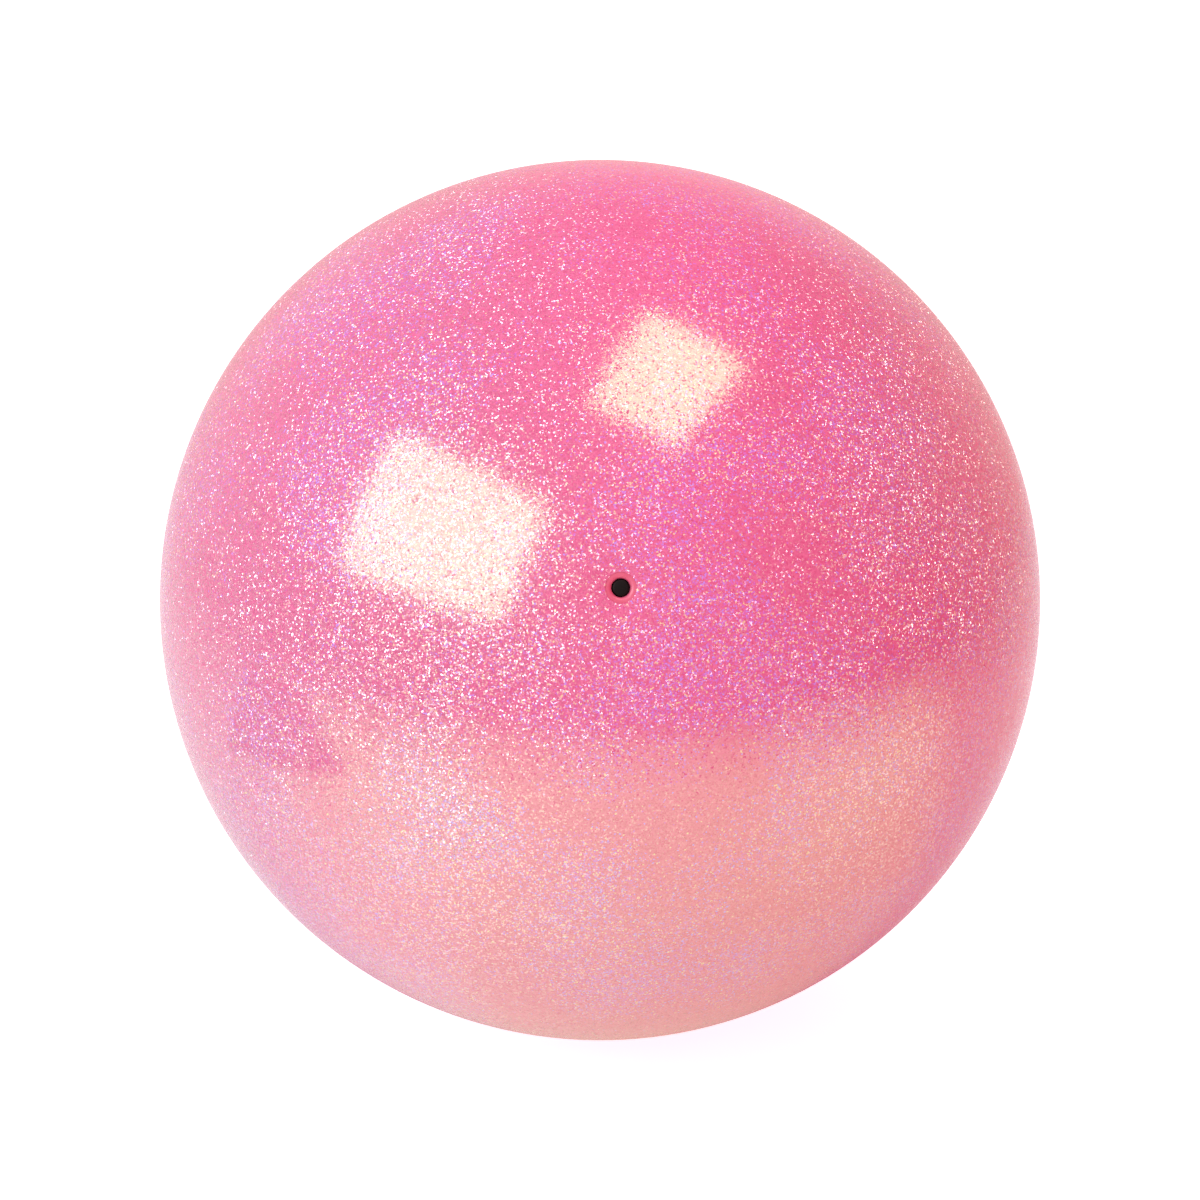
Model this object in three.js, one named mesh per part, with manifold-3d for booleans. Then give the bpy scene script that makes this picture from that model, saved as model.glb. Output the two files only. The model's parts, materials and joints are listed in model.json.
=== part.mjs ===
// A rhythmic gymnastics ball: a hollow rubber ball in a clear glitter skin, blown up through a rubber valve.
// Lengths are in millimetres and +Z is up. The origin is the centre of the ball as it lies.
// Every piece is turned about the valve's axis, which runs from the centre to the hole at the front.

import * as THREE from "three";
import { mergeVertices } from "three/addons/utils/BufferGeometryUtils.js";
import Module from "manifold-3d";

// The ball, with its three layers from the outside in
const BALL_DIAMETER = 180;
const SKIN_WALL = 0.5;
const COVER_WALL = 2;
const BLADDER_WALL = 1;
const GAP = 0.3; // clearance between neighbouring pieces

// The hole, and the bare rubber that shows round it
const HOLE_DIAMETER = 3.7;
const MOUTH_ROUND = 0.8;
const BARE_RING = 1.2; // from the hole to the edge of the glitter
const VALVE_RAISE_DEGREES = 22.5; // how far the hole looks up from level

// The valve seat: a stem with a flange that is bonded under the bladder
const SEAT_LIP = 4.5; // stem above the core, which grips the plug
const END_LIP = 2.2; // stem below the core
const STEM_WALL = 1.75;
const STEM_ROUND = 0.6;
const FLANGE_WIDTH = 10;
const FLANGE_WALL = 1.4;
const FLANGE_EDGE = 0.6;

// The valve core: a slug that closes by itself behind the inflating needle
const NEEDLE_DIAMETER = 1.8;
const CORE_LENGTH = 10;
const CORE_SHOULDER = 1.35; // how far the core stands out past the bores above and below it
const COLLAR_HEIGHT = 2;
const COLLAR_STAND = 0.7;
const FUNNEL_FLARE = 0.8;
const FUNNEL_DEPTH = 1.6;
const TAIL_WALL = 0.7;
const TAIL_REACH = 3; // how far the tail hangs out of the stem
const END_WALL = 2; // the tail's closed end, which the slit parts
const SLIT_LENGTH = 1.2;
const SLIT_WIDTH = 0.3;

// The plug that closes the hole
const PLUG_CLEARANCE = 0.2;
const PLUG_RECESS = 1.1; // from the ball's surface down to the plug's head
const PLUG_HEAD = 1.5;
const PLUG_BULB = 1.4;
const PLUG_WAIST = 0.35; // how much slimmer the shank is than the head and the bulb
const PLUG_ROUND = 0.4;

// How finely round shapes are faceted
const BALL_SEGMENTS = 32;
const BALL_RINGS = 24;
const VALVE_SEGMENTS = 20;
const ROUND_STEPS = 4;

// Radii of the layers, each a clearance inside the last
const skinOuter = BALL_DIAMETER / 2;
const skinInner = skinOuter - SKIN_WALL;
const coverOuter = skinInner - GAP;
const coverInner = coverOuter - COVER_WALL;
const bladderOuter = coverInner - GAP;
const bladderInner = bladderOuter - BLADDER_WALL;
const flangeTop = bladderInner - GAP;

// Distances from the valve's axis
const holeRadius = HOLE_DIAMETER / 2;
const mouthRound = Math.min(MOUTH_ROUND, COVER_WALL);
const needleRadius = NEEDLE_DIAMETER / 2;
const tailRadius = needleRadius + TAIL_WALL;
const endBoreRadius = tailRadius + GAP;
const coreRadius = Math.max(holeRadius, endBoreRadius) + CORE_SHOULDER;
const collarRadius = coreRadius + COLLAR_STAND;
const stemRadius = collarRadius + GAP + STEM_WALL;
const flangeRadius = stemRadius + FLANGE_WIDTH;
const plugRadius = holeRadius - PLUG_CLEARANCE;

// Heights along the valve's axis, from the stem's top inwards
const stemTop = Math.sqrt(bladderOuter ** 2 - holeRadius ** 2);
const pocketTop = stemTop - SEAT_LIP;
const coreTop = pocketTop - GAP;
const coreBottom = coreTop - CORE_LENGTH;
const collarTop = (coreTop + coreBottom + COLLAR_HEIGHT) / 2;
const collarBottom = collarTop - COLLAR_HEIGHT;
const pocketBottom = coreBottom - GAP;
const stemBottom = pocketBottom - END_LIP;
const tailTip = stemBottom - TAIL_REACH;

// A point of a half outline: its distance from the axis, and its height along it.
const at = (distance, height) => new THREE.Vector2(distance, height);

// Half outline of a ball, from its far pole up to the edge of the round hole at its top.
// All layers share the same ring angles, so the flats of nested layers lie parallel.
function meridian(radius, edgeRadius) {
  const step = Math.PI / BALL_RINGS;
  const edge = Math.acos(edgeRadius / radius);
  const points = [at(0, -radius)];
  for (let angle = step - Math.PI / 2; angle < edge - step / 4; angle += step) {
    points.push(at(radius * Math.cos(angle), radius * Math.sin(angle)));
  }
  points.push(at(edgeRadius, radius * Math.sin(edge)));
  return points;
}

// The point on a ball's upper flats at a given distance from the axis.
function onFlats(outline, distance) {
  const next = outline.findIndex((p) => p.y > 0 && p.x <= distance);
  const wide = outline[next - 1];
  const narrow = outline[next];
  return wide.clone().lerp(narrow, (wide.x - distance) / (wide.x - narrow.x));
}

// The stretch of a ball's upper half outline between two distances from the axis, the wider one first.
function capStretch(radius, wide, narrow) {
  const outline = meridian(radius, narrow);
  const between = outline.filter((p) => p.y > 0 && p.x < wide);
  return [onFlats(outline, wide), ...between];
}

// A quarter round about a centre, turning left from the start angle.
function quarterRound(centre, radius, startDegrees) {
  return Array.from({ length: ROUND_STEPS + 1 }, (_, i) => {
    const angle = THREE.MathUtils.degToRad(startDegrees + (90 * i) / ROUND_STEPS);
    return at(centre.x + radius * Math.cos(angle), centre.y + radius * Math.sin(angle));
  });
}

// Half outlines run up the outside and down the inside, so that the faces point out.

// The clear skin that holds the glitter. It stops short of the hole.
function skinOutline() {
  const edge = holeRadius + BARE_RING;
  return [...meridian(skinOuter, edge), ...meridian(skinInner, edge).reverse()];
}

// The pink rubber cover, with a rounded mouth round the hole.
function coverOutline() {
  const outside = meridian(coverOuter, holeRadius + mouthRound);
  const mouthCentre = outside.pop().sub(at(0, mouthRound));
  const mouth = quarterRound(mouthCentre, mouthRound, 90);
  return [...outside, ...mouth, ...meridian(coverInner, holeRadius).reverse()];
}

// The bladder that holds the air, open where the stem passes.
function bladderOutline() {
  const edge = stemRadius + GAP;
  return [...meridian(bladderOuter, edge), ...meridian(bladderInner, edge).reverse()];
}

// The seat: the stem's outside and flange, then its bore, with a pocket for the core and its collar.
function seatOutline() {
  const flange = capStretch(flangeTop, flangeRadius, stemRadius);
  const flangeEdge = flange[0];
  const flangeRoot = flange[flange.length - 1];
  const pocketRadius = coreRadius + GAP;
  const grooveRadius = collarRadius + GAP;
  return [
    at(endBoreRadius, stemBottom),
    ...quarterRound(at(stemRadius - STEM_ROUND, stemBottom + STEM_ROUND), STEM_ROUND, -90),
    at(stemRadius, flangeRoot.y - FLANGE_WALL),
    at(flangeRadius, flangeEdge.y - FLANGE_EDGE),
    ...flange,
    ...capStretch(bladderOuter, stemRadius, holeRadius),
    at(holeRadius, pocketTop),
    at(pocketRadius, pocketTop),
    at(pocketRadius, collarTop + GAP),
    at(grooveRadius, collarTop + GAP),
    at(grooveRadius, collarBottom - GAP),
    at(pocketRadius, collarBottom - GAP),
    at(pocketRadius, pocketBottom),
    at(endBoreRadius, pocketBottom),
    at(endBoreRadius, stemBottom),
  ];
}

// The core: a rounded tail, the slug with its collar, then the funnel and the needle's channel.
function coreOutline() {
  const channelEnd = tailTip + END_WALL;
  return [
    ...quarterRound(at(0, tailTip + tailRadius), tailRadius, -90),
    at(tailRadius, coreBottom),
    at(coreRadius, coreBottom),
    at(coreRadius, collarBottom),
    at(collarRadius, collarBottom),
    at(collarRadius, collarTop),
    at(coreRadius, collarTop),
    at(coreRadius, coreTop),
    at(needleRadius + FUNNEL_FLARE, coreTop),
    at(needleRadius, coreTop - FUNNEL_DEPTH),
    at(needleRadius, channelEnd),
    at(0, channelEnd),
  ];
}

// The plug: a bulb that leads in, a slim shank, and a round head that lies below the ball's surface.
function plugOutline() {
  const plugTip = coreTop + GAP;
  const plugTop = skinOuter - PLUG_RECESS;
  const shankRadius = plugRadius - PLUG_WAIST;
  return [
    at(0, plugTip),
    at(shankRadius, plugTip),
    at(plugRadius, plugTip + PLUG_BULB / 2),
    at(plugRadius, plugTip + PLUG_BULB),
    at(shankRadius, plugTip + PLUG_BULB),
    at(shankRadius, plugTop - PLUG_HEAD),
    at(plugRadius, plugTop - PLUG_HEAD),
    ...quarterRound(at(plugRadius - PLUG_ROUND, plugTop - PLUG_ROUND), PLUG_ROUND, 0),
    at(0, plugTop),
  ];
}

// Boolean cuts

const wasm = await Module();
wasm.setup();

function toSolid(geometry) {
  const bare = geometry.clone();
  bare.deleteAttribute("normal");
  bare.deleteAttribute("uv");
  const merged = mergeVertices(bare);
  const vertProperties = merged.attributes.position.array;
  const triVerts = new Uint32Array(merged.index.array);
  return new wasm.Manifold(new wasm.Mesh({ numProp: 3, vertProperties, triVerts }));
}

function toGeometry(solid) {
  const { vertProperties, triVerts } = solid.getMesh();
  const geometry = new THREE.BufferGeometry();
  geometry.setAttribute("position", new THREE.BufferAttribute(vertProperties, 3));
  geometry.setIndex(new THREE.BufferAttribute(triVerts, 1));
  geometry.computeVertexNormals();
  return geometry;
}

// The core with a slit cut right through the closed end of its tail.
function coreGeometry() {
  const slug = new THREE.LatheGeometry(coreOutline(), VALVE_SEGMENTS);
  const blade = new THREE.BoxGeometry(SLIT_LENGTH, 2 * END_WALL, SLIT_WIDTH);
  blade.translate(0, tailTip + END_WALL / 2, 0);
  return toGeometry(toSolid(slug).subtract(toSolid(blade)));
}

// Assembly

// The valve's axis is turned from the outlines' upright to the front, raised from level.
const ball = new THREE.Group();
ball.rotation.x = Math.PI - THREE.MathUtils.degToRad(VALVE_RAISE_DEGREES);

function addPiece(name, geometry, color, roughness, metalness) {
  const mesh = new THREE.Mesh(geometry, new THREE.MeshStandardMaterial({ color, roughness, metalness }));
  mesh.name = name;
  ball.add(mesh);
}

addPiece("glitter_skin", new THREE.LatheGeometry(skinOutline(), BALL_SEGMENTS), "#f28cab", 0.25, 0.2);
addPiece("rubber_cover", new THREE.LatheGeometry(coverOutline(), BALL_SEGMENTS), "#e8668a", 0.55, 0);
addPiece("air_bladder", new THREE.LatheGeometry(bladderOutline(), BALL_SEGMENTS), "#2a2627", 0.8, 0);
addPiece("valve_seat", new THREE.LatheGeometry(seatOutline(), VALVE_SEGMENTS), "#3a3435", 0.75, 0);
addPiece("valve_core", coreGeometry(), "#c9b79c", 0.7, 0);
addPiece("valve_plug", new THREE.LatheGeometry(plugOutline(), VALVE_SEGMENTS), "#251618", 0.6, 0);

const part = new THREE.Group();
part.add(ball);

export default part;
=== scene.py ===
# %% [markdown]
# A rhythmic gymnastics ball, lesson by lesson. It is a hollow rubber ball in a clear lacquer full of
# glitter, blown up through a small rubber valve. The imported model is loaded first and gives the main
# sizes and places, so the fine pieces made here fit it with nothing to adjust.

# %% Load the frame
import json
import math

import bmesh
import bpy
from mathutils import Matrix, Vector


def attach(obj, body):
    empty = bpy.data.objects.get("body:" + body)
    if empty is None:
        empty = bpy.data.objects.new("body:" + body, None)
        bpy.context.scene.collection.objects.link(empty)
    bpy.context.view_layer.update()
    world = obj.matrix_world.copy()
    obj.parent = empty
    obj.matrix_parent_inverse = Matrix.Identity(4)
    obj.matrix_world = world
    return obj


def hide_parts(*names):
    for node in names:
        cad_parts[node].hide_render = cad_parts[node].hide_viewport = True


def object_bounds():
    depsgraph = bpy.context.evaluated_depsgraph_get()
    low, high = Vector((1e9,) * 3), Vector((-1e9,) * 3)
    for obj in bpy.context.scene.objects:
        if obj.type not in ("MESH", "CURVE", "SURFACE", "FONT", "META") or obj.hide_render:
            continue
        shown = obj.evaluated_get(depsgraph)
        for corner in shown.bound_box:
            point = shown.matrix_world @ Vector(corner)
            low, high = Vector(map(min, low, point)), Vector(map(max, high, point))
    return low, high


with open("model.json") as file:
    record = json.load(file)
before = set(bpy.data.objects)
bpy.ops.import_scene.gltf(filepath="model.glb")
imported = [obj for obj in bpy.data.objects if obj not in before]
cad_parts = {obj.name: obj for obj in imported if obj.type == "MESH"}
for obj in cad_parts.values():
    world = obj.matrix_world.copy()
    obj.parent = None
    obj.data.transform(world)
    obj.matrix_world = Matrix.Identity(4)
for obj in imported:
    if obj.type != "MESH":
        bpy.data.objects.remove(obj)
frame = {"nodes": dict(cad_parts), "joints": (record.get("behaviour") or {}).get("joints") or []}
cad_low, cad_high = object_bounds()
MM = 0.001
print("packed nodes:", ", ".join(sorted(frame["nodes"])))
print("packed box in mm:", [round(side / MM, 1) for side in cad_high - cad_low])

# %% [markdown]
# Every piece is round about the valve's axis, which runs from the middle of the ball out through the
# hole. The plug slides along that same axis, so its joint gives the direction. Each corner of a packed
# node then has a distance from the axis and a height along it. Radii, walls and holes could be typed
# in again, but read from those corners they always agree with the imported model.

# %% Read the valve's axis and the layers
plug_joint = next(joint for joint in frame["joints"] if joint["name"] == "plug_pull")
valve_axis = Vector(plug_joint["axis"]).normalized()
ball_radius = (cad_high.z - cad_low.z) / 2


def turned_corners(node):
    """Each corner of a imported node, as its distance from the valve's axis and its height along it."""
    corners = [vertex.co for vertex in frame["nodes"][node].data.vertices]
    heights = [corner.dot(valve_axis) for corner in corners]
    distances = [(corner - valve_axis * height).length for corner, height in zip(corners, heights)]
    return list(zip(distances, heights))


def shell_sizes(node):
    """Outer radius, wall and hole radius of one hollow layer of the ball."""
    corners = turned_corners(node)
    reaches = [math.hypot(distance, height) for distance, height in corners]
    hole = min(distance for distance, height in corners if height > 0)
    return max(reaches), max(reaches) - min(reaches), hole


for layer in ("glitter_skin", "rubber_cover", "air_bladder"):
    sizes = [round(size / MM, 2) for size in shell_sizes(layer)]
    print(layer, "radius, wall and hole in mm:", sizes)

# %% [markdown]
# The camera looks down on the ball, almost straight into the hole. It could stand close with a short
# lens, but the ball would then hide more of itself behind its own curve. A product photograph is taken
# from afar with a long lens, so the camera stands well back, and the lens is worked out from the share
# of the picture that the outline fills.

# %% Camera
PICTURE_SIDE_PX = 1200
OUTLINE_RADIUS_PX = 440.4
CAMERA_DISTANCE = 1.5
CAMERA_AZIMUTH = math.radians(-2.8)
CAMERA_ELEVATION = math.radians(21)


def direction(azimuth, elevation):
    """The direction from the ball to something. Azimuth 0 is the front, -Y, and turns to the right."""
    level = math.cos(elevation)
    return Vector((math.sin(azimuth) * level, -math.cos(azimuth) * level, math.sin(elevation)))


camera = bpy.data.objects.new("camera", bpy.data.cameras.new("camera"))
bpy.context.scene.collection.objects.link(camera)
bpy.context.scene.camera = camera
camera_side = direction(CAMERA_AZIMUTH, CAMERA_ELEVATION)
camera.location = camera_side * CAMERA_DISTANCE
camera.rotation_euler = camera_side.to_track_quat("Z", "Y").to_euler()
outline_slope = ball_radius / math.sqrt(CAMERA_DISTANCE**2 - ball_radius**2)
half_view_slope = outline_slope * PICTURE_SIDE_PX / 2 / OUTLINE_RADIUS_PX
camera.data.lens = camera.data.sensor_width / 2 / half_view_slope
print("lens in mm:", round(camera.data.lens, 1))

# %% [markdown]
# Materials, the room and the floor are all trees of nodes. They could be drawn by hand in the editor,
# but written down they can be read and changed. Colours are the hex values that a paint chart gives,
# and one function turns them to the linear numbers that Blender works with, by the sRGB formula. One
# more function adds a node: each of its inputs is a number, a hex colour, or the output of another
# node that feeds it.

# %% Colours and nodes
def linear(hex_colour):
    """An sRGB hex colour as the linear red, green, blue and alpha that sockets take."""
    channels = [int(hex_colour[i:i + 2], 16) / 255 for i in (1, 3, 5)]
    return [c / 12.92 if c <= 0.04045 else ((c + 0.055) / 1.055) ** 2.4 for c in channels] + [1.0]


def feed(tree, socket, value):
    """Sets a socket to a number, a vector or a hex colour, or links it to an output."""
    if isinstance(value, bpy.types.NodeSocket):
        tree.links.new(value, socket)
    else:
        socket.default_value = linear(value) if isinstance(value, str) else value


def add_node(tree, kind, inputs=None, **settings):
    """Adds a node with its settings and feeds its inputs."""
    node = tree.nodes.new(kind)
    for name, setting in settings.items():
        setattr(node, name, setting)
    for socket, value in (inputs or {}).items():
        feed(tree, node.inputs[socket], value)
    return node


def blend(tree, value, span, first, second):
    """A colour that goes from the first to the second while a value crosses a span."""
    crossed = add_node(tree, "ShaderNodeMapRange",
                       {"Value": value, "From Min": span[0], "From Max": span[1]})
    mix = add_node(tree, "ShaderNodeMix",
                   {"Factor": crossed.outputs["Result"], "A": first, "B": second}, data_type="RGBA")
    return mix.outputs["Result"]


def new_material(name):
    """A material, the tree to add nodes to, and its shader."""
    material = bpy.data.materials.new(name)
    material.use_nodes = True
    return material, material.node_tree, material.node_tree.nodes["Principled BSDF"]


print("hex 80 as a linear number:", round(linear("#808080")[0], 3))

# %% [markdown]
# The light is that of a small studio. One wide softbox stands at the left, and a smaller one with a
# warmer cloth hangs over the ball. Glitter mirrors both as bright fields and as sparks, so they are
# area lights of a softbox's shape and not lamps without a size. Only gloss sees them: the soft light
# comes from the room, where it is easier to set by itself.

# %% Softboxes
SOFTBOX_DISTANCE = 1.6
SOFTBOX_RADIANCE = 7.2
LEFT_CLOTH = "#fffcfa"
TOP_CLOTH = "#fff3de"


def add_softbox(name, cloth, azimuth, elevation, width, height, roll):
    """An area light that faces the ball, turned about its own axis by the roll."""
    softbox = bpy.data.objects.new(name, bpy.data.lights.new(name, "AREA"))
    bpy.context.scene.collection.objects.link(softbox)
    side = direction(math.radians(azimuth), math.radians(elevation))
    softbox.location = side * SOFTBOX_DISTANCE
    facing = side.to_track_quat("Z", "Y").to_matrix() @ Matrix.Rotation(math.radians(roll), 3, "Z")
    softbox.rotation_euler = facing.to_euler()
    softbox.data.shape = "RECTANGLE"
    softbox.data.size = width
    softbox.data.size_y = height
    softbox.data.energy = SOFTBOX_RADIANCE * math.pi * width * height
    softbox.data.color = linear(cloth)[:3]
    softbox.visible_camera = False
    softbox.visible_diffuse = False
    print(name, "power in W:", round(softbox.data.energy, 1))


add_softbox("left_softbox", LEFT_CLOTH,
            azimuth=-51.9, elevation=31.3, width=1.45, height=0.96, roll=0)
add_softbox("top_softbox", TOP_CLOTH,
            azimuth=54.1, elevation=72.7, width=0.92, height=0.67, roll=11)

# %% [markdown]
# The room is the world's background. A picture of a studio could light the ball, but a few blends of
# plain colours are easier to set. The Light Path node tells rays apart, so each kind sees its own room:
# the lens sees plain white, gloss sees walls that are dim in front and overhead and rosy behind, and
# soft light is cool white at the left and red at the right, as if a pink wall stood there. How far a
# ray's direction goes along X, Y or Z blends one colour into the next.

# %% Room
ROOM_STRENGTH = 1.5
WHITE = "#ffffff"
LEFT_FILL = "#f9f5fb"
RIGHT_FILL = "#d87b87"
TO_RIGHT = (0, 0.5)
SHADE_BELOW = "#cdcdc8"
OUT_OF_SHADE = (-0.4, 0.3)
FRONT_WALL = "#4a4551"
BACK_WALL = "#d2a4a2"
TO_BACK = (0.1, 0.9)
CEILING = "#764a5c"
TO_CEILING = (0.1, 0.7)


def light_room():
    """Gives the scene a world whose colour depends on the kind of ray and on its direction."""
    world = bpy.data.worlds.new("studio")
    bpy.context.scene.world = world
    world.use_nodes = True
    tree = world.node_tree
    ray = add_node(tree, "ShaderNodeLightPath").outputs
    sight = add_node(tree, "ShaderNodeTexCoord").outputs["Generated"]
    heading = add_node(tree, "ShaderNodeSeparateXYZ", {"Vector": sight}).outputs

    side = blend(tree, heading["X"], TO_RIGHT, LEFT_FILL, RIGHT_FILL)
    shade = blend(tree, heading["Z"], OUT_OF_SHADE, SHADE_BELOW, WHITE)
    fill = add_node(tree, "ShaderNodeMix", {"Factor": 1, "A": side, "B": shade},
                    data_type="RGBA", blend_type="MULTIPLY")
    back = blend(tree, heading["Z"], TO_CEILING, BACK_WALL, CEILING)
    walls = blend(tree, heading["Y"], TO_BACK, FRONT_WALL, back)

    unseen = add_node(tree, "ShaderNodeMix",
                      {"Factor": ray["Is Glossy Ray"], "A": fill.outputs["Result"], "B": walls},
                      data_type="RGBA")
    seen = add_node(tree, "ShaderNodeMix",
                    {"Factor": ray["Is Camera Ray"], "A": unseen.outputs["Result"], "B": WHITE},
                    data_type="RGBA")
    feed(tree, tree.nodes["Background"].inputs["Color"], seen.outputs["Result"])
    feed(tree, tree.nodes["Background"].inputs["Strength"], ROOM_STRENGTH)


light_room()
bpy.context.scene.view_settings.view_transform = "Standard"
print("room strength:", ROOM_STRENGTH)

# %% [markdown]
# The ball stands on matt white paper, which shows in its gloss as a pale floor. Paper in front of the
# ball is lit the most, and a little more at the left. Lamps could light it so, but they would light the
# ball too, so the paper glows by itself. Only gloss sees that glow, and the lens sees a white lift in
# its place, which burns the paper out as a studio does. Towards its edge the paper fades out.

# %% Matt paper
FLOOR_RADIUS = 0.6
FADE_START = 0.22
PAPER = "#f4f4f4"
PAPER_ROUGHNESS = 0.9
PAPER_LIFT = 0.75
GLOW = "#dcffb8"
TO_FRONT = (0, -0.1)
LEFT_GLOW = 1.65
RIGHT_GLOW = 1.5
LEFT_TO_RIGHT = (-0.2, 0.1)


def floor_glow(tree, place, ray):
    """How strongly the paper glows, as painted light: a pool in front of the ball for gloss, a white
    lift for the lens.
    """
    along = add_node(tree, "ShaderNodeSeparateXYZ", {"Vector": place}).outputs
    in_front = add_node(tree, "ShaderNodeMapRange",
                        {"Value": along["Y"], "From Min": TO_FRONT[0], "From Max": TO_FRONT[1]})
    strength = add_node(tree, "ShaderNodeMapRange",
                        {"Value": along["X"], "From Min": LEFT_TO_RIGHT[0],
                         "From Max": LEFT_TO_RIGHT[1], "To Min": LEFT_GLOW, "To Max": RIGHT_GLOW})
    # Painted light: a pool of glow on the paper in front of the ball, stronger at the left, seen only
    # in gloss.
    glow = add_node(tree, "ShaderNodeMath",
                    {0: in_front.outputs["Result"], 1: strength.outputs["Result"]},
                    operation="MULTIPLY")
    # Painted light: for the lens the paper glows white, which washes out the shade round the ball.
    lift = add_node(tree, "ShaderNodeMath", {0: ray["Is Camera Ray"], 1: PAPER_LIFT},
                    operation="MULTIPLY")
    shine = add_node(tree, "ShaderNodeMath",
                     {0: glow.outputs["Value"], 1: ray["Is Glossy Ray"], 2: lift.outputs["Value"]},
                     operation="MULTIPLY_ADD")
    return shine.outputs["Value"]


def paper_with_painted_glow():
    """Paper that fades out at its edge, with a painted glow in place of the lamps' light on it."""
    material, tree, shader = new_material("matt_paper")
    place = add_node(tree, "ShaderNodeTexCoord").outputs["Object"]
    ray = add_node(tree, "ShaderNodeLightPath").outputs
    reach = add_node(tree, "ShaderNodeVectorMath", {0: place}, operation="LENGTH")
    fade = add_node(tree, "ShaderNodeMapRange",
                    {"Value": reach.outputs["Value"], "From Min": FLOOR_RADIUS,
                     "From Max": FADE_START})
    tone = add_node(tree, "ShaderNodeMix",
                    {"Factor": ray["Is Camera Ray"], "A": GLOW, "B": WHITE}, data_type="RGBA")
    feed(tree, shader.inputs["Base Color"], PAPER)
    feed(tree, shader.inputs["Roughness"], PAPER_ROUGHNESS)
    feed(tree, shader.inputs["Alpha"], fade.outputs["Result"])
    feed(tree, shader.inputs["Emission Color"], tone.outputs["Result"])
    feed(tree, shader.inputs["Emission Strength"], floor_glow(tree, place, ray))
    return material


print("glow at the left and at the right:", LEFT_GLOW, RIGHT_GLOW)

# %% [markdown]
# A studio's paper runs far to the back. Only what shows in the ball is needed here, and a square sheet
# would end there in hard edges, so the floor is a round one. Soft light passes through it, because the
# room already has its shade from below.

# %% Floor
FLOOR_SIDES = 128

bpy.ops.object.select_all(action="DESELECT")
bpy.ops.mesh.primitive_circle_add(vertices=FLOOR_SIDES, radius=FLOOR_RADIUS, fill_type="NGON")
floor = bpy.context.object
floor.name = "floor"
floor.location.z = -ball_radius
floor.visible_diffuse = False
floor.data.materials.append(paper_with_painted_glow())
print("floor radius in m:", FLOOR_RADIUS)

# %% [markdown]
# A dark card beside a glossy thing gives its reflection a dark shape. This card is dark and matt, with
# no gloss at all. It could be a part of the paper's pattern, but a card of its own is easier to move.
# It lies flat at the left, hidden from the lens, from shadows and from soft light, and cuts a dark
# tongue into the floor's reflection.

# %% Dark card
CARD_SIZE = (0.3, 0.14)
CARD_PLACE = (-0.34, -0.04)
CARD_LIFT = 1 * MM
CARD_COLOUR = "#54454e"
CARD_ROUGHNESS = 1


def dark_matt_card():
    """A dark matt surface that sends back a little dull light, the same from every side."""
    material, tree, shader = new_material("dark_matt_card")
    feed(tree, shader.inputs["Base Color"], CARD_COLOUR)
    feed(tree, shader.inputs["Roughness"], CARD_ROUGHNESS)
    return material


bpy.ops.object.select_all(action="DESELECT")
bpy.ops.mesh.primitive_plane_add(size=1)
card = bpy.context.object
card.name = "dark_card"
card.scale = (*CARD_SIZE, 1)
card.location = (*CARD_PLACE, CARD_LIFT - ball_radius)
# The card shows only in gloss, as a dark tongue in the floor's reflection.
card.visible_camera = False
card.visible_diffuse = False
card.visible_shadow = False
card.data.materials.append(dark_matt_card())
print("card size in m:", CARD_SIZE)

# %% [markdown]
# A few tools that every piece needs. Each piece is shaped upright, with the valve's axis along +Z,
# because that makes rings and holes easy to pick by their place. When it is done it is turned to where
# the hole looks, and the turn goes into its mesh, so the object itself stays at the origin, unturned.

# %% Modelling tools
SHARP_ANGLE = math.radians(35)


def start_fresh():
    """Leaves edit mode and selects nothing."""
    if bpy.context.mode != "OBJECT":
        bpy.ops.object.mode_set(mode="OBJECT")
    bpy.ops.object.select_all(action="DESELECT")


def pick(piece, wanted):
    """In edit mode, selects the vertices whose place passes a test, with the edges between them."""
    mesh = bmesh.from_edit_mesh(piece.data)
    mesh.select_mode = {"VERT"}
    for vertex in mesh.verts:
        vertex.select = wanted(vertex.co)
    mesh.select_flush_mode()
    bmesh.update_edit_mesh(piece.data)


def apply_modifier(piece, kind, **settings):
    """Adds a modifier with its settings and applies it at once."""
    bpy.ops.object.modifier_add(type=kind)
    modifier = piece.modifiers[-1]
    for name, setting in settings.items():
        setattr(modifier, name, setting)
    bpy.ops.object.modifier_apply(modifier=modifier.name)


def finish_shape(piece):
    """Smooths a finished shape and turns it from upright to the valve's axis."""
    start_fresh()
    piece.select_set(True)
    bpy.context.view_layer.objects.active = piece
    bpy.ops.object.shade_smooth_by_angle(angle=SHARP_ANGLE)
    piece.rotation_euler = Vector((0, 0, 1)).rotation_difference(valve_axis).to_euler()
    bpy.ops.object.transform_apply(location=True, rotation=True, scale=True)
    print(piece.name, "faces:", len(piece.data.polygons))


print("edges are sharp from", round(math.degrees(SHARP_ANGLE)), "degrees")

# %% [markdown]
# The ball has three hollow layers with one round hole: the glitter skin, the rubber cover and the
# bladder. A Boolean could cut the hole, but it would leave ragged faces round it. A ball made of rings
# can be opened cleanly: the rings nearest the pole are deleted, the next one is brought to the hole's
# radius, and Solidify grows the wall inwards. The hole's edge is then one ring, ready to be shaped.

# %% Hollow layers
BALL_SEGMENTS = 192
BALL_RINGS = 96
EDGE_REACH = 0.05 * MM


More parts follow.
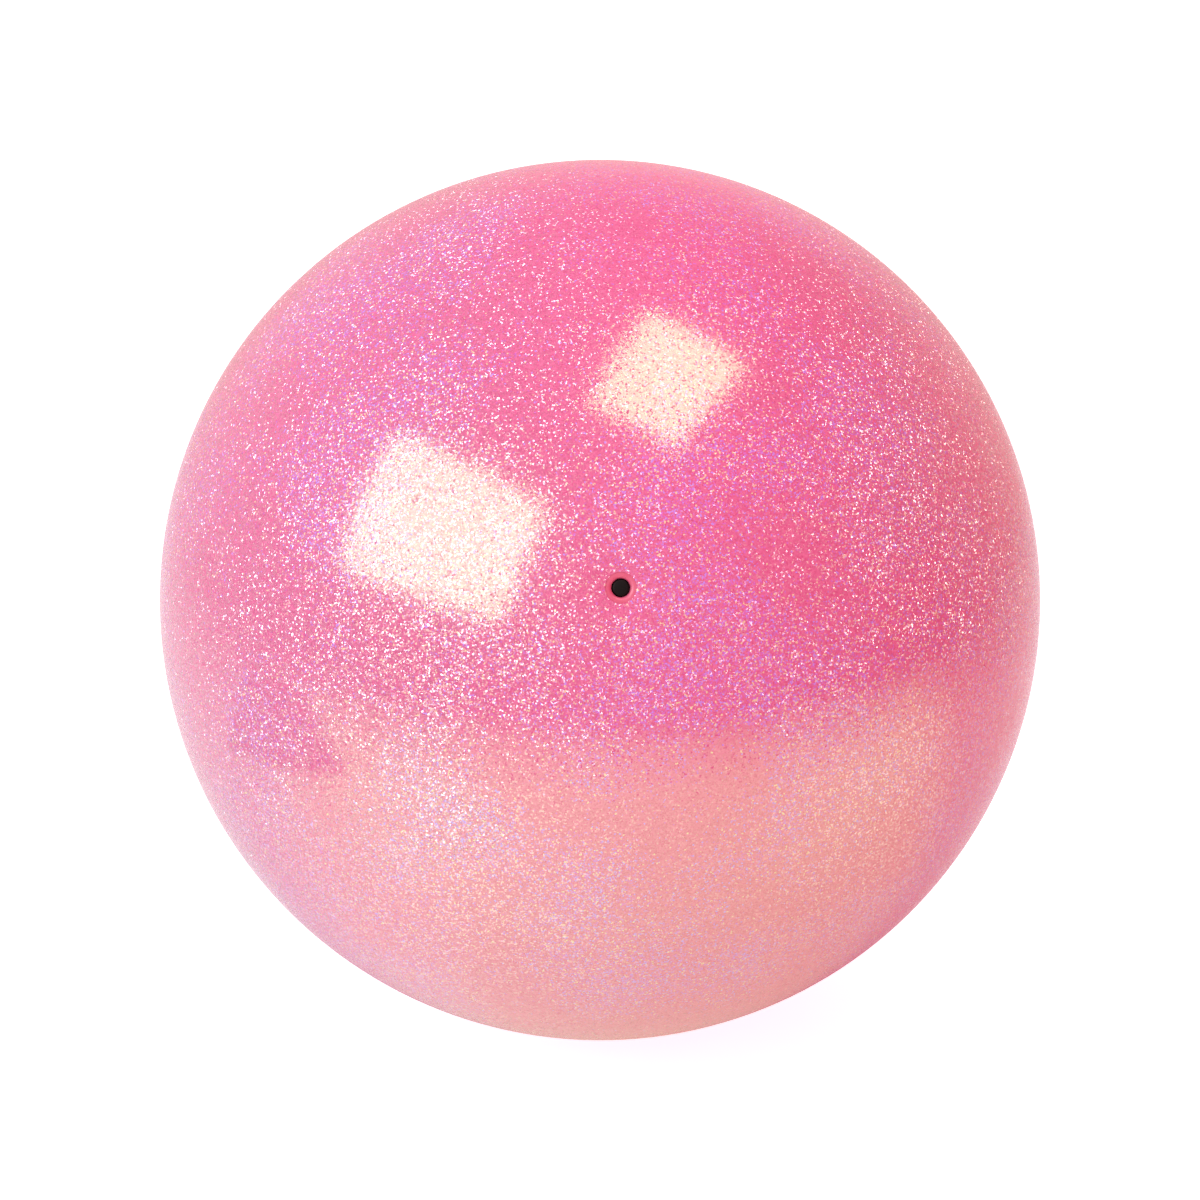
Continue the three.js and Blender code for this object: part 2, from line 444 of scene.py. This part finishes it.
def open_hole(piece, radius, hole, dip):
    """Deletes the rings in the hole, and brings the next one to its edge, a dip under the surface."""
    ring_angle = math.pi / BALL_RINGS
    edge_ring = max(1, round(math.asin(hole / radius) / ring_angle))
    pick(piece, lambda place: place.z > radius * math.cos((edge_ring - 0.5) * ring_angle))
    bpy.ops.mesh.delete(type="VERT")
    pick(piece, lambda place: place.z > radius * math.cos((edge_ring + 0.5) * ring_angle))
    widen = hole / (radius * math.sin(edge_ring * ring_angle))
    bpy.ops.transform.resize(value=(widen, widen, 1), center_override=(0, 0, 0))
    rise = math.sqrt(radius**2 - hole**2) - radius * math.cos(edge_ring * ring_angle)
    bpy.ops.transform.translate(value=(0, 0, rise - dip))


def make_layer(name, node, dip=0):
    """A hollow ball with a hole at its top, in edit mode with the outer edge of the hole picked."""
    radius, wall, hole = shell_sizes(node)
    start_fresh()
    bpy.ops.mesh.primitive_uv_sphere_add(
        segments=BALL_SEGMENTS, ring_count=BALL_RINGS, radius=radius
    )
    layer = bpy.context.object
    layer.name = name
    bpy.ops.object.mode_set(mode="EDIT")
    open_hole(layer, radius, hole, dip)
    bpy.ops.object.mode_set(mode="OBJECT")
    apply_modifier(layer, "SOLIDIFY", thickness=wall, offset=-1)
    bpy.ops.object.mode_set(mode="EDIT")
    widest = hole + EDGE_REACH
    outside = radius - dip - EDGE_REACH
    pick(layer, lambda place: place.z > 0 and place.xy.length < widest and place.length > outside)
    return layer


print("rings are", round(math.pi * ball_radius / BALL_RINGS / MM, 2), "mm apart")

# %% [markdown]
# The glitter skin is sprayed on, so it has no cut edge: round the hole it dips and thins out to almost
# nothing. Scaling the rim would spoil its round, so the outer edge of the hole, which is still picked,
# is only moved down until it almost meets the inner one.

# %% Glitter skin
SKIN_DIP = 0.25 * MM
SKIN_EDGE = 0.08 * MM

skin = make_layer("clear_glitter_skin", "glitter_skin", SKIN_DIP)
skin_wall = shell_sizes("glitter_skin")[1]
bpy.ops.transform.translate(value=(0, 0, SKIN_EDGE - skin_wall))
finish_shape(skin)

# %% [markdown]
# The rubber cover gives the ball its bounce. Its moulded mouth shows as a bare, rounded ring within the
# edge of the skin. The round could be modelled ring by ring, but one bevel of the picked edge gives it.

# %% Rubber cover
COVER_MOUTH_ROUND = 0.8 * MM
RIM_STEPS = 6

cover = make_layer("pink_rubber_cover", "rubber_cover")
bpy.ops.mesh.bevel(offset=COVER_MOUTH_ROUND, segments=RIM_STEPS, affect="EDGES")
finish_shape(cover)

# %% [markdown]
# The bladder is the thin inner layer that holds the air, and the valve's stem passes through its hole.
# It is hidden in the closed ball, so it is made in the same way as the cover, with a smaller round.

# %% Air bladder
BLADDER_RIM_ROUND = 0.4 * MM

bladder = make_layer("inner_bladder", "air_bladder")
bpy.ops.mesh.bevel(offset=BLADDER_RIM_ROUND, segments=RIM_STEPS, affect="EDGES")
finish_shape(bladder)

# %% [markdown]
# The valve's pieces are moulded in turned tools. Cylinders could be stacked and joined, but a turner's
# way is shorter: a ring is drawn at the start of a half outline, then extruded and resized from point
# to point until the outline is closed. Bevels on the sharp rings then give the small rounds that a
# mould leaves.

# %% Turning
TURN_SEGMENTS = 64
MOULD_STEPS = 3
SAME_PLACE = 1e-6


def close_to_axis(height):
    """Draws the picked ring in to one point on the axis."""
    bpy.ops.mesh.extrude_region_move()
    bpy.ops.transform.resize(value=(0, 0, 1), center_override=(0, 0, height))
    bpy.ops.mesh.merge(type="CENTER")


def pick_ring(piece, distance, height):
    """Picks the ring at a distance from the axis and a height along it."""
    def on_ring(place):
        off_distance = abs(place.xy.length - distance)
        off_height = abs(place.z - height)
        return off_distance < SAME_PLACE and off_height < SAME_PLACE

    pick(piece, on_ring)


def turn(name, outline, ends_on_axis):
    """Extrudes a ring along points of distance and height, and closes it on the axis or itself."""
    first_distance, first_height = outline[0]
    start_fresh()
    bpy.ops.mesh.primitive_circle_add(
        vertices=TURN_SEGMENTS, radius=first_distance, location=(0, 0, first_height)
    )
    piece = bpy.context.object
    piece.name = name
    bpy.ops.object.transform_apply(location=True)
    bpy.ops.object.mode_set(mode="EDIT")
    bpy.ops.mesh.select_all(action="SELECT")
    stops = outline[1:] if ends_on_axis else outline[1:] + outline[:1]
    distance, height = outline[0]
    for next_distance, next_height in stops:
        grow = next_distance / distance
        bpy.ops.mesh.extrude_region_move(
            TRANSFORM_OT_translate={"value": (0, 0, next_height - height)}
        )
        bpy.ops.transform.resize(value=(grow, grow, 1), center_override=(0, 0, next_height))
        distance, height = next_distance, next_height
    if ends_on_axis:
        close_to_axis(height)
        pick_ring(piece, first_distance, first_height)
        close_to_axis(first_height)
    bpy.ops.mesh.select_all(action="SELECT")
    bpy.ops.mesh.remove_doubles(threshold=SAME_PLACE)
    bpy.ops.mesh.normals_make_consistent(inside=False)
    return piece


def round_sharp_rings(width):
    """Bevels every ring where the outline turns sharply, in the piece that is being edited."""
    bpy.ops.mesh.select_all(action="DESELECT")
    bpy.ops.mesh.select_mode(type="EDGE")
    bpy.ops.mesh.edges_select_sharp(sharpness=SHARP_ANGLE)
    bpy.ops.mesh.bevel(offset=width, segments=MOULD_STEPS, affect="EDGES", clamp_overlap=True)


print("turned pieces have", TURN_SEGMENTS, "sides")

# %% [markdown]
# The valve's core is a slug of soft gum rubber. A funnel leads the needle into a narrow channel, a
# collar keeps the slug in its pocket, and the tail hangs into the air space, where pressure closes its
# slit. All of it is turned but the slit, which isn't round, so a Boolean cuts it with a thin blade.

# %% Valve core
MOULD_ROUND = 0.15 * MM
NEEDLE_RADIUS = 0.9 * MM
FUNNEL_FLARE = 0.8 * MM
FUNNEL_DEPTH = 1.6 * MM
TAIL_RADIUS = 1.6 * MM
TAIL_END_WALL = 2 * MM
TAIL_START_ANGLE = -80
TAIL_STEPS = 8
SLIT_LENGTH = 1.2 * MM
SLIT_WIDTH = 0.3 * MM
SAME_WIDTH = 0.01 * MM
WIDTH_DIGITS = 5


def height_span(corners, radius):
    """The lowest and the highest corner at one distance from the axis."""
    heights = [height for distance, height in corners if abs(distance - radius) < SAME_WIDTH]
    return min(heights), max(heights)


core_corners = turned_corners("valve_core")
core_widths = sorted({round(distance, WIDTH_DIGITS) for distance, height in core_corners})
core_radius, collar_radius = core_widths[-2:]
core_bottom, core_top = height_span(core_corners, core_radius)
collar_bottom, collar_top = height_span(core_corners, collar_radius)
tail_tip = min(height for distance, height in core_corners)


def arc(middle, radius, start, end, steps):
    """Points of a round stretch of an outline, by its middle, radius and end angles in degrees."""
    angles = [math.radians(start + (end - start) * i / steps) for i in range(steps + 1)]
    return [(middle[0] + radius * math.cos(a), middle[1] + radius * math.sin(a)) for a in angles]


def make_core():
    """The slug with its collar, funnel, channel and slit tail."""
    tail_middle = (0, tail_tip + TAIL_RADIUS)
    outline = [
        *arc(tail_middle, TAIL_RADIUS, TAIL_START_ANGLE, 0, TAIL_STEPS),
        (TAIL_RADIUS, core_bottom),
        (core_radius, core_bottom),
        (core_radius, collar_bottom),
        (collar_radius, collar_bottom),
        (collar_radius, collar_top),
        (core_radius, collar_top),
        (core_radius, core_top),
        (NEEDLE_RADIUS + FUNNEL_FLARE, core_top),
        (NEEDLE_RADIUS, core_top - FUNNEL_DEPTH),
        (NEEDLE_RADIUS, tail_tip + TAIL_END_WALL),
    ]
    core = turn("gum_valve_core", outline, ends_on_axis=True)
    round_sharp_rings(MOULD_ROUND)
    start_fresh()
    bpy.ops.mesh.primitive_cube_add(size=1, location=(0, 0, tail_tip + TAIL_END_WALL / 2))
    blade = bpy.context.object
    blade.scale = (SLIT_LENGTH, SLIT_WIDTH, 2 * TAIL_END_WALL)
    bpy.ops.object.transform_apply(location=True, scale=True)
    start_fresh()
    core.select_set(True)
    bpy.context.view_layer.objects.active = core
    apply_modifier(core, "BOOLEAN", object=blade, operation="DIFFERENCE", solver="EXACT")
    bpy.data.objects.remove(blade)
    finish_shape(core)
    return core


core = make_core()
print("core length in mm:", round((core_top - tail_tip) / MM, 2))

# %% [markdown]
# The seat is the rubber stem that the core sits in. Its wide flange is bonded under the bladder, so
# its top follows the ball's curve, and it thins towards the edge so that the bond doesn't tear. Its
# bore has a pocket for the core and a groove for the collar. Both take the core's sizes and a
# clearance, because a seat with sizes of its own could stop fitting.

# %% Valve seat
CLEARANCE = 0.3 * MM
FLANGE_WALL = 1.4 * MM
FLANGE_EDGE = 0.6 * MM
FLANGE_STEPS = 8
STEM_WALL = 1.75 * MM
STEM_ROUND = 0.6 * MM
END_BORE_RADIUS = 1.9 * MM

seat_corners = turned_corners("valve_seat")
flange_radius = max(distance for distance, height in seat_corners)
seat_bore = min(distance for distance, height in seat_corners)
seat_bottom = min(height for distance, height in seat_corners)
bladder_radius, bladder_wall = shell_sizes("air_bladder")[:2]


def on_ball(radius, distance):
    """The point of a ball's upper half outline at a distance from the axis."""
    return (distance, math.sqrt(radius**2 - distance**2))


def make_seat():
    """The stem with its flange, lip, pocket and groove."""
    groove_radius = collar_radius + CLEARANCE
    pocket_radius = core_radius + CLEARANCE
    stem_radius = groove_radius + STEM_WALL
    stem_round_middle = (stem_radius - STEM_ROUND, seat_bottom + STEM_ROUND)
    flange_reach = bladder_radius - bladder_wall - CLEARANCE
    spread = flange_radius - stem_radius
    flange_distances = [flange_radius - spread * i / FLANGE_STEPS for i in range(FLANGE_STEPS + 1)]
    flange = [on_ball(flange_reach, distance) for distance in flange_distances]
    pocket_top = core_top + CLEARANCE
    outline = [
        (END_BORE_RADIUS, seat_bottom),
        *arc(stem_round_middle, STEM_ROUND, -90, 0, MOULD_STEPS),
        (stem_radius, flange[-1][1] - FLANGE_WALL),
        (flange_radius, flange[0][1] - FLANGE_EDGE),
        *flange,
        on_ball(bladder_radius, stem_radius),
        on_ball(bladder_radius, seat_bore),
        (seat_bore, pocket_top),
        (pocket_radius, pocket_top),
        (pocket_radius, collar_top + CLEARANCE),
        (groove_radius, collar_top + CLEARANCE),
        (groove_radius, collar_bottom - CLEARANCE),
        (pocket_radius, collar_bottom - CLEARANCE),
        (pocket_radius, core_bottom - CLEARANCE),
        (END_BORE_RADIUS, core_bottom - CLEARANCE),
    ]
    seat = turn("valve_seat_stem", outline, ends_on_axis=False)
    round_sharp_rings(MOULD_ROUND)
    finish_shape(seat)
    return seat


seat = make_seat()
print("flange width in mm:", round(2 * flange_radius / MM, 1))

# %% [markdown]
# The plug closes the hole against dust. Its bulb snaps through the lip of the seat, the shank is
# slimmer, and the flat head lies a little below the ball's surface, where it shows as the dark round in
# the hole. A plain pin would look the same from outside, but with its bulb the plug also looks right
# when it is pulled out.

# %% Valve plug
PLUG_BULB = 1.4 * MM
PLUG_HEAD = 1.5 * MM
PLUG_WAIST = 0.35 * MM
PLUG_ROUND = 0.4 * MM
PLUG_ROUND_STEPS = 5

plug_corners = turned_corners("valve_plug")
plug_radius = max(distance for distance, height in plug_corners)
plug_tip = min(height for distance, height in plug_corners)
plug_top = max(height for distance, height in plug_corners)


def make_plug():
    """The bulb, shank and round head."""
    shank_radius = plug_radius - PLUG_WAIST
    head_round_middle = (plug_radius - PLUG_ROUND, plug_top - PLUG_ROUND)
    outline = [
        (shank_radius, plug_tip),
        (plug_radius, plug_tip + PLUG_BULB / 2),
        (plug_radius, plug_tip + PLUG_BULB),
        (shank_radius, plug_tip + PLUG_BULB),
        (shank_radius, plug_top - PLUG_HEAD),
        (plug_radius, plug_top - PLUG_HEAD),
        *arc(head_round_middle, PLUG_ROUND, 0, 90, PLUG_ROUND_STEPS),
    ]
    plug = turn("black_valve_plug", outline, ends_on_axis=True)
    round_sharp_rings(MOULD_ROUND)
    finish_shape(plug)
    return plug


plug = make_plug()
print("plug length in mm:", round((plug_top - plug_tip) / MM, 2))

# %% [markdown]
# Glitter is film cut into flakes of one size and stirred into lacquer. Each flake lies at its own
# slant, so from any side some of them throw a lamp's light at the eye. Thousands of small plates could
# be modelled, but a pattern is lighter: a Voronoi texture draws one cell for each flake, and the cell's
# random colour pushes the surface's normal to one side. A push that is shorter than the normal itself
# never turns a flake inside out.

# %% Flakes
CENTIMETRE = 10 * MM
FLAKE_WIDTH = 0.3 * MM
MIDDLE_GREY = (0.5, 0.5, 0.5)


def leaned_normal(tree, random_colour, lean):
    """The surface's normal with a push to a random side, as long as the lean."""
    surface = add_node(tree, "ShaderNodeNewGeometry").outputs["Normal"]
    aim = add_node(tree, "ShaderNodeVectorMath", {0: random_colour, 1: MIDDLE_GREY},
                   operation="SUBTRACT")
    way = add_node(tree, "ShaderNodeVectorMath", {0: aim.outputs["Vector"]}, operation="NORMALIZE")
    push = add_node(tree, "ShaderNodeVectorMath", {0: way.outputs["Vector"], "Scale": lean},
                    operation="SCALE")
    pushed = add_node(tree, "ShaderNodeVectorMath", {0: surface, 1: push.outputs["Vector"]},
                      operation="ADD")
    normal = add_node(tree, "ShaderNodeVectorMath", {0: pushed.outputs["Vector"]},
                      operation="NORMALIZE")
    return normal.outputs["Vector"]


print("flakes to a square centimetre:", round((CENTIMETRE / FLAKE_WIDTH) ** 2))

# %% [markdown]
# Spray never lies even. This gun stood above and behind the ball, so its flakes lie thick there, up to
# an edge that runs over and under in patches. Between two of its passes is a stripe with fewer and
# fainter flakes. A painted map could say where they lie, but a distance from the edge, a distance from
# the stripe and a noise say it with a few sizes.

# %% Spray
SPRAY_SIDE = Vector((-0.38, 0.47, 0.8))
SPRAY_EDGE = (-15 * MM, 15 * MM)
PATCH_SWING = 60 * MM
STRIPE_PLACE = 15 * MM
STRIPE_EDGE = (8 * MM, 45 * MM)
STRIPE_SHARE = 0.42


def spray_thickness(tree, place, patches):
    """How thick the spray lies, from 0 to 1. Its edge runs over and under in patches."""
    towards = add_node(tree, "ShaderNodeVectorMath", {0: place, 1: SPRAY_SIDE.normalized()},
                       operation="DOT_PRODUCT")
    reached = add_node(tree, "ShaderNodeMath",
                       {0: patches, 1: PATCH_SWING, 2: towards.outputs["Value"]},
                       operation="MULTIPLY_ADD")
    thickness = add_node(tree, "ShaderNodeMapRange",
                         {"Value": reached.outputs["Value"], "From Min": SPRAY_EDGE[0],
                          "From Max": SPRAY_EDGE[1]})
    return thickness.outputs["Result"]


def share_between_passes(tree, place):
    """The share of flakes that two passes of the gun leave, which is least in the stripe between."""
    across = add_node(tree, "ShaderNodeSeparateXYZ", {"Vector": place}).outputs["X"]
    offset = add_node(tree, "ShaderNodeMath", {0: across, 1: STRIPE_PLACE}, operation="SUBTRACT")
    away = add_node(tree, "ShaderNodeMath", {0: offset.outputs["Value"]}, operation="ABSOLUTE")
    share = add_node(tree, "ShaderNodeMapRange",
                     {"Value": away.outputs["Value"], "From Min": STRIPE_EDGE[0],
                      "From Max": STRIPE_EDGE[1], "To Min": STRIPE_SHARE})
    return share.outputs["Result"]


print("stripe runs", round(STRIPE_PLACE / MM), "mm to the right of the middle")

# %% [markdown]
# Clear film shows the pink under it, deeper or paler from flake to flake. A few flakes are tinted film,
# and their magenta, lilac and cream gather in clouds where the spray lies thicker. One flat pink would
# look like paint, so every flake draws its own colour: a random number picks the pink, another says
# whether the flake is tinted, and a third says how.

# %% Flake colours
DEEP_PINK = "#ea659b"
PALE_PINK = "#fa84b3"
MAGENTA_FLAKE = "#ea7edc"
LILAC_FLAKE = "#d8a0ff"
CREAM_FLAKE = "#ffe0b8"
LILAC_FROM = 0.6
CREAM_FROM = 0.85
TINTED_PATCH = (0.4, 0.65)
TINTED_SHARE = (0.03, 0.35)


def flake_tint(tree, draw):
    """Magenta, lilac or cream, by a number from 0 to 1."""
    is_lilac = add_node(tree, "ShaderNodeMath", {0: draw, 1: LILAC_FROM}, operation="GREATER_THAN")
    is_cream = add_node(tree, "ShaderNodeMath", {0: draw, 1: CREAM_FROM}, operation="GREATER_THAN")
    cool = add_node(tree, "ShaderNodeMix",
                    {"Factor": is_lilac.outputs["Value"], "A": MAGENTA_FLAKE, "B": LILAC_FLAKE},
                    data_type="RGBA")
    tint = add_node(tree, "ShaderNodeMix",
                    {"Factor": is_cream.outputs["Value"], "A": cool.outputs["Result"],
                     "B": CREAM_FLAKE}, data_type="RGBA")
    return tint.outputs["Result"]


def flake_colour(tree, dice, patches):
    """The colour of each flake: a pink, or a tint in some flakes of a thick patch."""
    pink = add_node(tree, "ShaderNodeMix",
                    {"Factor": dice["Blue"], "A": DEEP_PINK, "B": PALE_PINK}, data_type="RGBA")
    share = add_node(tree, "ShaderNodeMapRange",
                     {"Value": patches, "From Min": TINTED_PATCH[0], "From Max": TINTED_PATCH[1],
                      "To Min": TINTED_SHARE[0], "To Max": TINTED_SHARE[1]})
    tinted = add_node(tree, "ShaderNodeMath", {0: dice["Green"], 1: share.outputs["Result"]},
                      operation="LESS_THAN")
    colour = add_node(tree, "ShaderNodeMix",
                      {"Factor": tinted.outputs["Value"], "A": pink.outputs["Result"],
                       "B": flake_tint(tree, dice["Red"])}, data_type="RGBA")
    return colour.outputs["Result"]


print("tinted share of a thick patch:", TINTED_SHARE[1])

# %% [markdown]
# Most flakes lie flat in the lacquer. Their clear film mirrors a little and shifts white light towards
# green gold, so lamps and floor show in it as ivory fields, with pink dots where a flake leans more. A
# second shader could be mixed in for it, but the shader's own gloss gives it, with a high IOR and a
# tint.

# %% Flat film
FILM_IOR = 1.92
FILM_TINT = "#a8ffc4"
FLAKE_ROUGHNESS = 0.12
FLAT_LEAN = 0.025
ROUGH_LEAN = 0.15
ROUGH_SHARE = 0.18


def add_film(tree, shader, random_colour, draw):
    """Flakes that lie nearly flat, with a few that lean more, as the shader's own gloss."""
    rough = add_node(tree, "ShaderNodeMath", {0: draw, 1: ROUGH_SHARE}, operation="LESS_THAN")
    lean = add_node(tree, "ShaderNodeMath",
                    {0: rough.outputs["Value"], 1: ROUGH_LEAN, 2: FLAT_LEAN},
                    operation="MULTIPLY_ADD")
    normal = leaned_normal(tree, random_colour, lean.outputs["Value"])
    feed(tree, shader.inputs["Normal"], normal)
    feed(tree, shader.inputs["IOR"], FILM_IOR)
    feed(tree, shader.inputs["Specular Tint"], FILM_TINT)
    feed(tree, shader.inputs["Roughness"], FLAKE_ROUGHNESS)


film_mirrors = ((FILM_IOR - 1) / (FILM_IOR + 1)) ** 2
print("share of light that the film mirrors straight back:", round(film_mirrors, 3))

# %% [markdown]
# Where the spray lies thick, flakes stand at all angles and mirror strongly. Each one that happens to
# face a lamp is a white spark, far from the lamp's own field. Bright dots could be painted on, but they
# would stay where they are when the lamps or the camera move. A coat that only some flakes have, leaned
# flake by flake, moves its sparks as real glitter does.

# %% Sparks
SPARK_IOR = 2.6
SPARK_SHARE = (0.16, 0.68)
SPARK_LEAN = (0.15, 0.9)
STANDING_FROM = 0.3


def add_sparks(tree, shader, place, chance, patches):
    """Flakes that mirror strongly, as the shader's coat. They stand up where the spray lies thick."""
    thickness = spray_thickness(tree, place, patches)
    passes = share_between_passes(tree, place)
    sprayed = add_node(tree, "ShaderNodeMapRange",
                       {"Value": thickness, "To Min": SPARK_SHARE[0], "To Max": SPARK_SHARE[1]})
    share = add_node(tree, "ShaderNodeMath", {0: sprayed.outputs["Result"], 1: passes},
                     operation="MULTIPLY")
    spark = add_node(tree, "ShaderNodeMath", {0: chance["Value"], 1: share.outputs["Value"]},
                     operation="LESS_THAN")
    weight = add_node(tree, "ShaderNodeMath", {0: spark.outputs["Value"], 1: passes},
                      operation="MULTIPLY")
    lean = add_node(tree, "ShaderNodeMapRange",
                    {"Value": thickness, "From Max": STANDING_FROM, "To Min": SPARK_LEAN[0],
                     "To Max": SPARK_LEAN[1]})
    normal = leaned_normal(tree, chance["Color"], lean.outputs["Result"])
    feed(tree, shader.inputs["Coat Weight"], weight.outputs["Value"])
    feed(tree, shader.inputs["Coat Normal"], normal)
    feed(tree, shader.inputs["Coat IOR"], SPARK_IOR)
    feed(tree, shader.inputs["Coat Roughness"], FLAKE_ROUGHNESS)


print("sparks lean up to", round(math.degrees(math.asin(SPARK_LEAN[1]))), "degrees")

# %% [markdown]
# Glitter lacquer is clear lacquer full of those flakes, sprayed over pink. To the eye it is ivory
# fields, white sparks and many pinks at once, under a thin haze that pales the rim. Several shaders
# could be mixed, but one holds them all: its gloss is the film, its coat the sparks, its colour the
# flakes' own, and its sheen the haze.

# %% Glitter lacquer
PATCH_SIZE = 30 * MM
PATCH_DETAIL = 1
HAZE_WEIGHT = 0.15
HAZE_ROUGHNESS = 0.3
HAZE_TINT = "#fff0e8"


def glitter_lacquer():
    """Pink under clear film, with white sparks, tinted flakes and a haze."""
    material, tree, shader = new_material("glitter_lacquer")
    place = add_node(tree, "ShaderNodeTexCoord").outputs["Object"]
    flakes = add_node(tree, "ShaderNodeTexVoronoi",
                      {"Vector": place, "Scale": 1 / FLAKE_WIDTH}).outputs
    chance = add_node(tree, "ShaderNodeTexWhiteNoise", {"Vector": flakes["Position"]}).outputs
    dice = add_node(tree, "ShaderNodeSeparateColor", {"Color": chance["Color"]}).outputs
    noise = add_node(tree, "ShaderNodeTexNoise",
                     {"Vector": place, "Scale": 1 / PATCH_SIZE, "Detail": PATCH_DETAIL})
    patches = noise.outputs["Fac"]
    add_film(tree, shader, flakes["Color"], dice["Blue"])
    add_sparks(tree, shader, place, chance, patches)
    feed(tree, shader.inputs["Base Color"], flake_colour(tree, dice, patches))
    feed(tree, shader.inputs["Sheen Weight"], HAZE_WEIGHT)
    feed(tree, shader.inputs["Sheen Roughness"], HAZE_ROUGHNESS)
    feed(tree, shader.inputs["Sheen Tint"], HAZE_TINT)
    return material


skin.data.materials.append(glitter_lacquer())
print("lacquer nodes:", len(skin.data.materials[0].node_tree.nodes))

# %% [markdown]
# Rubber comes in five mixes here: the pink cover, the black bladder, seat and plug, and the tan gum of
# the core. All are moulded against a blasted tool, so they have a fine even grain and a soft sheen,
# with faint clouds where the mix is uneven. The real grain is too fine to show, so it is drawn a few
# tenths of a millimetre wide. Each mix could have its own tree, but one function makes them all, with
# each mix's own colours, grain and gloss.

# %% Moulded rubber
RUBBER_IOR = 1.52
RUBBER_GLOSS = 0.5
ROUGHNESS_SWING = 0.08
CLOUD_SIZE = 6 * MM
CLOUD_EDGE = (0.3, 0.7)
CLOUD_DETAIL = 4
GRAIN_DETAIL = 3
GRAIN_STRENGTH = 0.6


def moulded_rubber(name, dark, pale, grain_width, grain_depth, roughness, gloss=RUBBER_GLOSS):
    """Rubber with clouds between two near colours and a fine moulded grain."""
    material, tree, shader = new_material(name)
    place = add_node(tree, "ShaderNodeTexCoord").outputs["Object"]
    clouds = add_node(tree, "ShaderNodeTexNoise",
                      {"Vector": place, "Scale": 1 / CLOUD_SIZE, "Detail": CLOUD_DETAIL})
    grain = add_node(tree, "ShaderNodeTexNoise",
                     {"Vector": place, "Scale": 1 / grain_width, "Detail": GRAIN_DETAIL})
    bump = add_node(tree, "ShaderNodeBump",
                    {"Height": grain.outputs["Fac"], "Strength": GRAIN_STRENGTH,
                     "Distance": grain_depth})
    dull = add_node(tree, "ShaderNodeMapRange",
                    {"Value": clouds.outputs["Fac"], "To Min": roughness - ROUGHNESS_SWING,
                     "To Max": roughness + ROUGHNESS_SWING})
    mix = blend(tree, clouds.outputs["Fac"], CLOUD_EDGE, dark, pale)
    feed(tree, shader.inputs["Base Color"], mix)
    feed(tree, shader.inputs["Normal"], bump.outputs["Normal"])
    feed(tree, shader.inputs["Roughness"], dull.outputs["Result"])
    feed(tree, shader.inputs["IOR"], RUBBER_IOR)
    feed(tree, shader.inputs["Specular IOR Level"], gloss)
    return material


cover.data.materials.append(moulded_rubber(
    "pink_rubber", dark="#e4567c", pale="#ee7394",
    grain_width=0.3 * MM, grain_depth=0.03 * MM, roughness=0.45,
))
bladder.data.materials.append(moulded_rubber(
    "butyl_rubber", dark="#241f20", pale="#322b2c",
    grain_width=0.5 * MM, grain_depth=0.05 * MM, roughness=0.7,
))
seat.data.materials.append(moulded_rubber(
    "black_stem_rubber", dark="#332d2e", pale="#423b3c",
    grain_width=0.3 * MM, grain_depth=0.03 * MM, roughness=0.65,
))
core.data.materials.append(moulded_rubber(
    "gum_rubber", dark="#c2ad8e", pale="#d2c0a2",
    grain_width=0.25 * MM, grain_depth=0.02 * MM, roughness=0.55,
))
plug.data.materials.append(moulded_rubber(
    "dull_black_rubber", dark="#140809", pale="#1d0d0f",
    grain_width=0.2 * MM, grain_depth=0.02 * MM, roughness=0.6, gloss=0.12,
))
print("rubber materials:", sum("rubber" in material.name for material in bpy.data.materials))

# %% [markdown]
# Last, every piece is tied to the imported model. The layers, the seat and the core belong to the ball,
# and the plug moves on its own joint. Each piece stands for one imported node, which is hidden. The
# calls could be written out for each piece, but a loop gives all six the same two.

# %% Ride and replace
for piece, body, node, finish in (
    (skin, "ball", "glitter_skin", "glitter_skin"),
    (cover, "ball", "rubber_cover", "cover_rubber"),
    (bladder, "ball", "air_bladder", "bladder_rubber"),
    (seat, "ball", "valve_seat", "seat_rubber"),
    (core, "ball", "valve_core", "core_rubber"),
    (plug, "plug", "valve_plug", "plug_rubber"),
):
    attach(piece, body)
    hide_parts(node)
